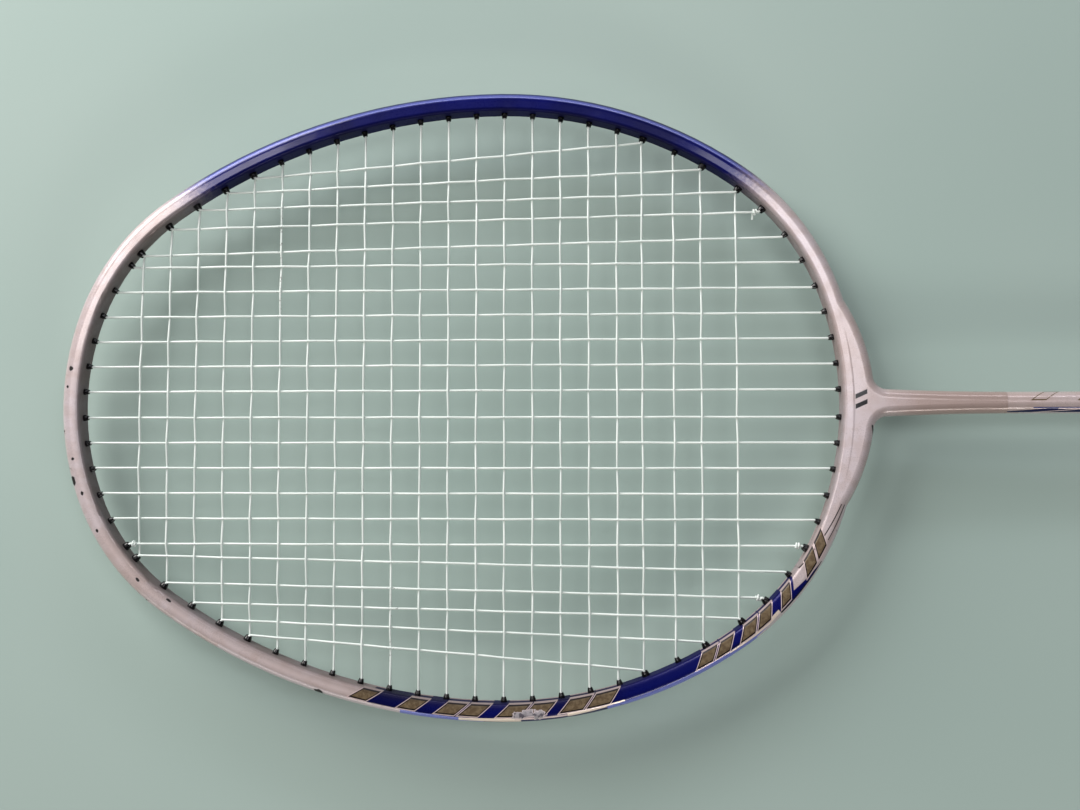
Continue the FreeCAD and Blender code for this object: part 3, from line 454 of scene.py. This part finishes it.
def tee_paint():
    finish = Finish("tee_paint_look")
    along, inset = hoop_coordinates(finish)
    colour = pearl(finish)
    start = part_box("tee_joint")[1].x / MM
    # Painted shade: the pearl darkens towards the shaft.
    painted_shade_to_shaft = finish.x.rise(start - 30, start - 2).inverse()
    colour = finish.mix(painted_shade_to_shaft * 0.9, colour, PEARL_IN_SHADE)

    # Two small slanted bars, in place of a badge.
    badge = bars(finish.y, finish.x, BADGE_BARS_MM, middle=start - 7.6, half=1.9, slant=0.45)
    colour = finish.mix(badge.below(0.0, 0.08) * finish.z.above(0.0), colour, INK)
    sliver = stripe(along, inset, start=352, end=361, low=(-6.5, -3.6), high=(-5.4, -3.0))
    colour = finish.mix(sliver * finish.y.above(0.0), colour, INK)
    scuff = finish.noise(180, 4, 0.7).rise(0.70, 0.72)
    return lacquer(finish, colour, scuff * 0.6)


SHAFT_MM_PER_DEGREE = 0.061
# Outlined bars on the shaft: (start down the shaft from its upper end, width), in mm.
SHAFT_BARS_MM = ((10.0, 4.4), (24.6, 4.4), (39.2, 4.4))
SHAFT_BARS_END_MM = 54
SHAFT_OUTLINE_MM = 0.44
# How soft the edges of the shaft's streaks are, in degrees round it.
SHAFT_SOFT = 1.2


def shaft_paint():
    """Pearl with a tapering navy stripe low on the left and thin outlined bars on the right.

    A streak's places are mm down the shaft, and its edges degrees round it."""
    finish = Finish("shaft_paint_look")
    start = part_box("shaft")[1].x / MM
    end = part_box("cone_cap")[1].x / MM
    down = (finish.x * -1.0) + start
    round_angle = finish.y.math("ARCTAN2", finish.z.size()) * (180 / math.pi)
    # The whole shaft is mixed towards the darker pearl: painted shade.
    colour = finish.mix(0.30, pearl(finish), PEARL_IN_SHADE)

    length = start - end
    streaks = (
        (-6, 16, (64, 30), (66, 66), NAVY),
        (8, length - 24, (27, 27), (35, 35), ROYAL),
        (16, length - 18, (34, 34), (38, 38), PINK_LINE),
        (16, length - 12, (38, 38), (66, 60), NAVY),
        (8, 24, (64, 34), (69, 40), PINK_LINE),
        (4, length - 8, (66, 60), (74, 66), PEARL_COOL),
        (28, 92, (-44, -62), (-41, -30), INK),
    )
    for first, last, low, high, tint in streaks:
        inside = stripe(down, round_angle, first, last, low, high, SHAFT_SOFT)
        colour = finish.mix(inside, colour, tint)
    round_mm = round_angle * SHAFT_MM_PER_DEGREE
    outside = bars(down, round_mm, SHAFT_BARS_MM, middle=-2.6, half=1.9, slant=-1.3)
    outline = outside.size().below(SHAFT_OUTLINE_MM / 2, 0.07) * down.below(SHAFT_BARS_END_MM)
    colour = finish.mix(outline, colour, GOLD)
    scuff = finish.noise(150, 4, 0.7).rise(0.70, 0.73)
    return lacquer(finish, colour, scuff * 0.6)


# Two stretches of cross string that have gathered dirt, one on each side.
RIGHT_DIRT_X_MM = (602.4, 606.2)
RIGHT_DIRT_Y_MM = (-66, -28)
LEFT_DIRT_X_MM = (564.2, 568.2)
LEFT_DIRT_Y_MM = (58, 84)


def string_look():
    """Coated nylon: slightly see-through, a fine braid under the coat, dirt where it rubs."""
    finish = Finish("string_look")
    soft = finish.noise(60, 2).rise(0.3, 0.7)
    colour = finish.mix(soft, (0.74, 0.80, 0.765), (0.65, 0.72, 0.685))
    rubbed = finish.noise(1400, 3, 0.6).rise(0.56, 0.66)
    right_row = finish.x.within(*RIGHT_DIRT_X_MM, 0.5) * finish.y.within(*RIGHT_DIRT_Y_MM, 4.0)
    left_row = finish.x.within(*LEFT_DIRT_X_MM, 0.5) * finish.y.within(*LEFT_DIRT_Y_MM, 4.0)
    everywhere = finish.noise(320, 4, 0.7).rise(0.66, 0.74) * 0.30
    dirt = (right_row + left_row) * rubbed * 0.75 + everywhere
    colour = finish.mix(dirt.least(1.0), colour, (0.10, 0.10, 0.09))
    braid = finish.noise(2400, 2)
    return finish.put(
        Base_Color=colour,
        Roughness=braid * 0.2 + 0.28,
        Subsurface_Weight=0.25,
        Subsurface_Radius=(0.0008, 0.0008, 0.0008),
        Coat_Weight=0.35,
        Coat_Roughness=0.2,
        Normal=finish.bump(braid, 0.03, 0.5),
    )


def nylon_look():
    """Glossy black moulded nylon, dulled a little where it has been handled."""
    finish = Finish("grommet_nylon_look")
    grain = finish.noise(1500, 3)
    worn = finish.noise(240, 3).rise(0.45, 0.75)
    colour = finish.mix(worn, (0.003, 0.003, 0.0035), (0.010, 0.010, 0.011))
    return finish.put(
        Base_Color=colour,
        Roughness=worn * 0.18 + 0.20,
        Specular_IOR_Level=0.3,
        Coat_Weight=0.15,
        Normal=finish.bump(grain, 0.02, 0.4),
    )


def grip_look():
    """Navy synthetic leather: pebbled grain, darker in its folds, polished where the hand goes."""
    finish = Finish("grip_look")
    pebbles = finish.cells(900, "SMOOTH_F1")
    creases = finish.noise(420, 4, 0.6)
    handled = finish.noise(38, 3).rise(0.38, 0.70)
    colour = finish.mix(handled, (0.010, 0.016, 0.070), (0.018, 0.027, 0.100))
    colour = finish.mix(creases.rise(0.35, 0.6) * 0.5, colour, (0.006, 0.009, 0.040))
    dusty = finish.noise(130, 5, 0.7).rise(0.58, 0.74) * 0.25
    colour = finish.mix(dusty, colour, (0.10, 0.11, 0.16))
    grain = pebbles * 0.7 + creases * 0.5
    return finish.put(
        Base_Color=colour,
        Roughness=finish.choose(handled, 0.62, 0.42),
        Sheen_Weight=0.15,
        Normal=finish.bump(grain, 0.12, 0.6),
    )


def tape_look():
    """Black vinyl finishing tape with faint wrapping wrinkles."""
    finish = Finish("band_tape_look")
    wrinkles = finish.noise(1, 4, 0.6, finish.vector(finish.x * 0.9, finish.y * 0.12, finish.z * 0.12))
    dust = finish.noise(300, 4, 0.7).rise(0.55, 0.75)
    colour = finish.mix(dust, (0.008, 0.008, 0.009), (0.035, 0.035, 0.038))
    return finish.put(
        Base_Color=colour,
        Roughness=dust * 0.2 + 0.30,
        Normal=finish.bump(wrinkles, 0.10, 0.5),
    )


def cone_paint():
    finish = Finish("cone_paint_look")
    colour = finish.mix(0.25, pearl(finish), PEARL_COOL)
    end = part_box("cone_cap")[1].x / MM
    colour = finish.mix(finish.x.within(end - 9.0, end - 6.4), colour, ROYAL)
    colour = finish.mix(finish.x.within(end - 5.6, end - 5.0), colour, GOLD)
    scuff = finish.noise(160, 4, 0.7).rise(0.69, 0.72)
    return lacquer(finish, colour, scuff * 0.6, 0.32)


def rubber_look():
    """Black moulded butt cap with a fine sparked texture and pale scuffs on its rim."""
    finish = Finish("butt_plastic_look")
    spark = finish.noise(2200, 3, 0.6)
    rim = finish.x.below(2.2, 1.0)
    scuffs = finish.noise(260, 5, 0.7).rise(0.56, 0.70) * rim
    colour = finish.mix(scuffs * 0.6, (0.012, 0.012, 0.013), (0.09, 0.09, 0.09))
    return finish.put(
        Base_Color=colour,
        Roughness=spark * 0.25 + 0.42,
        Normal=finish.bump(spark, 0.06, 0.6),
    )


def badge_look():
    """A plain brushed disc with a fine ring of blue."""
    finish = Finish("badge_plastic_look")
    radius = (finish.y * finish.y + finish.z * finish.z).math("SQRT")
    brushed = finish.noise(1, 3, 0.6, finish.vector(radius * 9.0, finish.y * 0.05, finish.z * 0.05))
    colour = finish.mix(brushed, (0.42, 0.43, 0.46), (0.62, 0.63, 0.66))
    colour = finish.mix(radius.within(5.6, 6.6), colour, ROYAL)
    colour = finish.mix(radius.within(2.0, 2.5), colour, ROYAL)
    return finish.put(
        Base_Color=colour,
        Metallic=0.7,
        Roughness=brushed * 0.15 + 0.25,
        Coat_Weight=0.4,
        Normal=finish.bump(brushed, 0.02, 0.4),
    )


def wood_look():
    """Pale basswood with rings along the handle."""
    finish = Finish("handle_wood_look")
    rings = finish.noise(1, 4, 0.6, finish.vector(finish.x * 0.02, finish.y * 0.5, finish.z * 0.5))
    fibres = finish.noise(1, 3, 0.6, finish.vector(finish.x * 0.15, finish.y * 4.0, finish.z * 4.0))
    colour = finish.mix(rings.rise(0.35, 0.65), (0.58, 0.40, 0.22), (0.44, 0.28, 0.14))
    colour = finish.mix(fibres.rise(0.5, 0.8) * 0.4, colour, (0.30, 0.18, 0.09))
    return finish.put(Base_Color=colour, Roughness=0.6, Normal=finish.bump(fibres, 0.05, 0.5))


# ---------------------------------------------------------------- the wrapped grip

GRIP_LOW, GRIP_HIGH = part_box("grip")
BUTT_HALF = (GRIP_HIGH.y - 0.0003, GRIP_HIGH.z - 0.0003)
MIDDLE_HALF = (0.0137, 0.0122)
BUTT_STRAIGHT_X = 0.009
FLARE_END_X = 0.030
TAPER_START_X = GRIP_HIGH.x - 0.010
TAPER_DROP = 0.0011
BEVEL_CUT = 0.0070
CORNER_POWER = 44
WRAP_PITCH = 0.0208
LAP_RISE = 0.00034
LAP_SINK = 0.00044
LAP_LENGTH = 0.38
SEAM_LIP = 0.012
CELLS_ACROSS = 5
CELLS_AROUND = 22
CELL_SIDE = 4
# A cell's rings of points inside its square edge, as shares of its side: the last is the hole's floor.
CELL_RINGS = (0.27, 0.115, 0.085)
HOLE_DEPTH = 0.00060
PLAIN_AT_BUTT = 0.004
PLAIN_AT_TOP = 0.012
END_SETTLE = 0.002
LIP_STEPS = 3
WELD = 2e-6


def octagon_radius(angle, half_width, half_height):
    """How far a rounded octagon reaches at an angle round the handle."""
    total = 0.0
    bevel = (half_width + half_height - BEVEL_CUT) / math.sqrt(2)
    for side in range(8):
        reach = (half_width, bevel, half_height, bevel)[side % 4]
        lean = math.cos(angle - side * math.pi / 4)
        if lean > 0:
            total += (lean / reach) ** CORNER_POWER
    return total ** (-1 / CORNER_POWER)


def smooth(value):
    value = min(max(value, 0.0), 1.0)
    return value * value * (3 - 2 * value)


def lap_height(x, turns):
    """How far the wrap stands above or below the grip's nominal surface: a step at each lap."""
    share = (x / WRAP_PITCH - turns) % 1.0
    lip = smooth(share / SEAM_LIP) if share < SEAM_LIP else 1.0
    settle = smooth(share / LAP_LENGTH)
    return -LAP_SINK + lip * (LAP_RISE + LAP_SINK) * (1 - settle)


def grip_point(x, turns, sink=0.0):
    """A point on the wrap, at a place along the handle and a number of turns round it."""
    x = min(max(x, GRIP_LOW.x), GRIP_HIGH.x)
    flare = 1 - smooth((x - BUTT_STRAIGHT_X) / (FLARE_END_X - BUTT_STRAIGHT_X))
    taper = TAPER_DROP * smooth((x - TAPER_START_X) / (GRIP_HIGH.x - TAPER_START_X))
    half_width = MIDDLE_HALF[0] + flare * (BUTT_HALF[0] - MIDDLE_HALF[0]) - taper
    half_height = MIDDLE_HALF[1] + flare * (BUTT_HALF[1] - MIDDLE_HALF[1]) - taper
    angle = turns * 2 * math.pi
    at_end = min(smooth((x - GRIP_LOW.x) / END_SETTLE), smooth((GRIP_HIGH.x - x) / END_SETTLE))
    reach = octagon_radius(angle, half_width, half_height) + lap_height(x, turns) * at_end - sink
    return Vector((x, reach * math.cos(angle), reach * math.sin(angle)))


def cell_rings():
    """A perforated cell in its own square from 0 to 1: rings of points from its edge to its hole."""
    edge = []
    for side in range(4):
        for step in range(CELL_SIDE):
            share = step / CELL_SIDE
            edge.append(((share, 0), (1, share), (1 - share, 1), (0, 1 - share))[side])
    rings = [edge]
    for radius in CELL_RINGS:
        ring = []
        for x, y in edge:
            away = math.hypot(x - 0.5, y - 0.5)
            ring.append((0.5 + (x - 0.5) / away * radius, 0.5 + (y - 0.5) / away * radius))
        rings.append(ring)
    return rings


def make_grip():
    """The grip as one tape wound round the handle: each turn laps the last, with punched holes."""
    builder = bmesh.new()
    rings = cell_rings()
    cell_x = WRAP_PITCH * (1 - SEAM_LIP) / CELLS_ACROSS
    first = math.floor(GRIP_LOW.x / WRAP_PITCH) - 1
    last = math.ceil(GRIP_HIGH.x / WRAP_PITCH)
    count = len(rings[0])

    def place(base_x, turns, along, around, sink):
        """A vertex from a cell's own coordinates; the tape climbs as it goes round."""
        here = turns + around / CELLS_AROUND
        return builder.verts.new(grip_point(base_x + here * WRAP_PITCH + along * cell_x, here, sink))

    for turn in range(first, last):
        for column in range(CELLS_AROUND):
            turns = column / CELLS_AROUND
            base = turn * WRAP_PITCH
            for row in range(CELLS_ACROSS):
                start = base + SEAM_LIP * WRAP_PITCH + row * cell_x
                low = start + turns * WRAP_PITCH
                within = low + 2 * cell_x < GRIP_HIGH.x - PLAIN_AT_TOP
                punched = within and low > GRIP_LOW.x + PLAIN_AT_BUTT
                depths = (0.0, 0.0, 0.0, HOLE_DEPTH if punched else 0.0)
                placed = [[place(start, turns, u, v, depth) for u, v in ring]
                          for ring, depth in zip(rings, depths)]
                for outer, inner in zip(placed, placed[1:]):
                    for index in range(count):
                        after = (index + 1) % count
                        builder.faces.new((outer[index], outer[after], inner[after], inner[index]))
                builder.faces.new(placed[-1])
            for step in range(CELL_SIDE):
                lip = []
                for level in range(LIP_STEPS + 1):
                    share = level / LIP_STEPS * SEAM_LIP * WRAP_PITCH / cell_x
                    lip.append([place(base, turns, share, (step + side) / CELL_SIDE, 0.0)
                                for side in (0, 1)])
                for (a, b), (c, d) in zip(lip, lip[1:]):
                    builder.faces.new((a, c, d, b))
    bmesh.ops.remove_doubles(builder, verts=builder.verts, dist=WELD)
    bmesh.ops.dissolve_degenerate(builder, edges=builder.edges, dist=WELD / 2)
    rims = [edge for edge in builder.edges if edge.is_boundary]
    bmesh.ops.holes_fill(builder, edges=rims, sides=0)
    bmesh.ops.recalc_face_normals(builder, faces=builder.faces)
    mesh = bpy.data.meshes.new("grip_wrap")
    builder.to_mesh(mesh)
    builder.free()
    mesh.shade_smooth()
    wrap = bpy.data.objects.new("grip_wrap", mesh)
    bpy.context.scene.collection.objects.link(wrap)
    wrap.data.materials.append(grip_look())
    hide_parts("grip")
    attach(wrap, "root")


# ---------------------------------------------------------------- floor, light and camera

FLOOR_HALF = 4.0
FLOOR_GAP = 0.0002


def floor_look():
    finish = Finish("floor_look")
    mottle = finish.noise(6, 3).rise(0.3, 0.7)
    colour = finish.mix(mottle, (0.31, 0.405, 0.370), (0.33, 0.42, 0.385))
    return finish.put(Base_Color=colour, Roughness=0.75)


def make_floor():
    """A plain pale sweep that the racket lies on."""
    middle = (CAD_BOX[0] + CAD_BOX[1]) / 2
    mesh = bpy.data.meshes.new("floor")
    level = CAD_BOX[0].z - FLOOR_GAP
    corners = [(middle.x + x * FLOOR_HALF, y * FLOOR_HALF, level)
               for x, y in ((-1, -1), (1, -1), (1, 1), (-1, 1))]
    mesh.from_pydata(corners, [], [(0, 1, 2, 3)])
    floor = bpy.data.objects.new("floor", mesh)
    bpy.context.scene.collection.objects.link(floor)
    floor.data.materials.append(floor_look())


# Softboxes: (name, place from the head's middle, aim from it, size, watts, colour).
SOFTBOXES = (
    ("key", (0.70, -0.74, 0.52), (0, 0, 0), (0.7, 0.7), 17.0, (1.0, 0.965, 0.94)),
    ("strip", (0.40, 1.00, 0.14), (0, 0, 0), (1.3, 0.12), 2.6, (1.0, 0.93, 0.84)),
    ("rim", (-0.05, -1.0, 0.46), (0, 0, 0), (1.2, 0.12), 4.0, (0.92, 0.92, 1.0)),
    ("shaft", (-0.30, 0.70, 0.32), (-0.18, 0, 0), (0.4, 0.1), 1.6, (1.0, 0.97, 0.93)),
    ("tip", (0.50, -0.29, 1.15), (0, 0, 0), (0.36, 0.36), 3.4, (1.0, 0.95, 0.93)),
    ("throat", (-0.325, -0.25, 1.15), (0, 0, 0), (0.38, 0.38), 2.8, (0.97, 0.96, 1.0)),
)
WORLD_COLOUR = (0.86, 0.92, 0.92, 1.0)
WORLD_STRENGTH = 0.045


def make_lights():
    """A key beyond the tip, low strips along the sides, and boxes over the tip and the throat."""
    head = (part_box("head_frame")[0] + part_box("head_frame")[1]) / 2
    for name, place, aim, size, watts, colour in SOFTBOXES:
        light = bpy.data.lights.new(name, "AREA")
        light.shape = "RECTANGLE"
        light.size, light.size_y = size
        light.energy = watts
        light.color = colour
        lamp = bpy.data.objects.new(name, light)
        lamp.location = head + Vector(place)
        towards = Vector(aim) - Vector(place)
        lamp.rotation_euler = towards.to_track_quat("-Z", "Y").to_euler()
        bpy.context.scene.collection.objects.link(lamp)
    world = bpy.data.worlds.new("studio")
    world.use_nodes = True
    background = world.node_tree.nodes["Background"]
    background.inputs["Color"].default_value = WORLD_COLOUR
    background.inputs["Strength"].default_value = WORLD_STRENGTH
    bpy.context.scene.world = world


CAMERA_PLACE = (0.5032, 0.02465, 0.4178)
CAMERA_TARGET = (0.5188, 0.00039, 0.0)
CAMERA_ROLL = math.radians(0.15)
LENS_MM = 43.0


def make_camera():
    """Looks down on the string bed, with the tip on the left and the right side at the top."""
    data = bpy.data.cameras.new("camera")
    data.lens = LENS_MM
    data.sensor_width = 36.0
    data.clip_start = 0.01
    camera = bpy.data.objects.new("camera", data)
    bpy.context.scene.collection.objects.link(camera)
    back = (Vector(CAMERA_PLACE) - Vector(CAMERA_TARGET)).normalized()
    right = Vector((-math.cos(CAMERA_ROLL), math.sin(CAMERA_ROLL), 0.0))
    right = (right - back * right.dot(back)).normalized()
    up = back.cross(right)
    camera.matrix_world = Matrix((
        (right.x, up.x, back.x, CAMERA_PLACE[0]),
        (right.y, up.y, back.y, CAMERA_PLACE[1]),
        (right.z, up.z, back.z, CAMERA_PLACE[2]),
        (0.0, 0.0, 0.0, 1.0),
    ))
    bpy.context.scene.camera = camera


make_camera()
make_lights()
make_floor()
bpy.context.scene.view_settings.view_transform = "Standard"

GROMMETS = [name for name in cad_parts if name.startswith("grommets_")]
give(head_paint(), "head_frame")
give(tee_paint(), "tee_joint")
give(shaft_paint(), "shaft")
give(string_look(), "main_string", "cross_string")
give(nylon_look(), *GROMMETS)
give(wood_look(), "handle_core")
give(tape_look(), "finishing_band")
give(cone_paint(), "cone_cap")
give(rubber_look(), "butt_cap")
give(badge_look(), "end_badge")
make_grip()
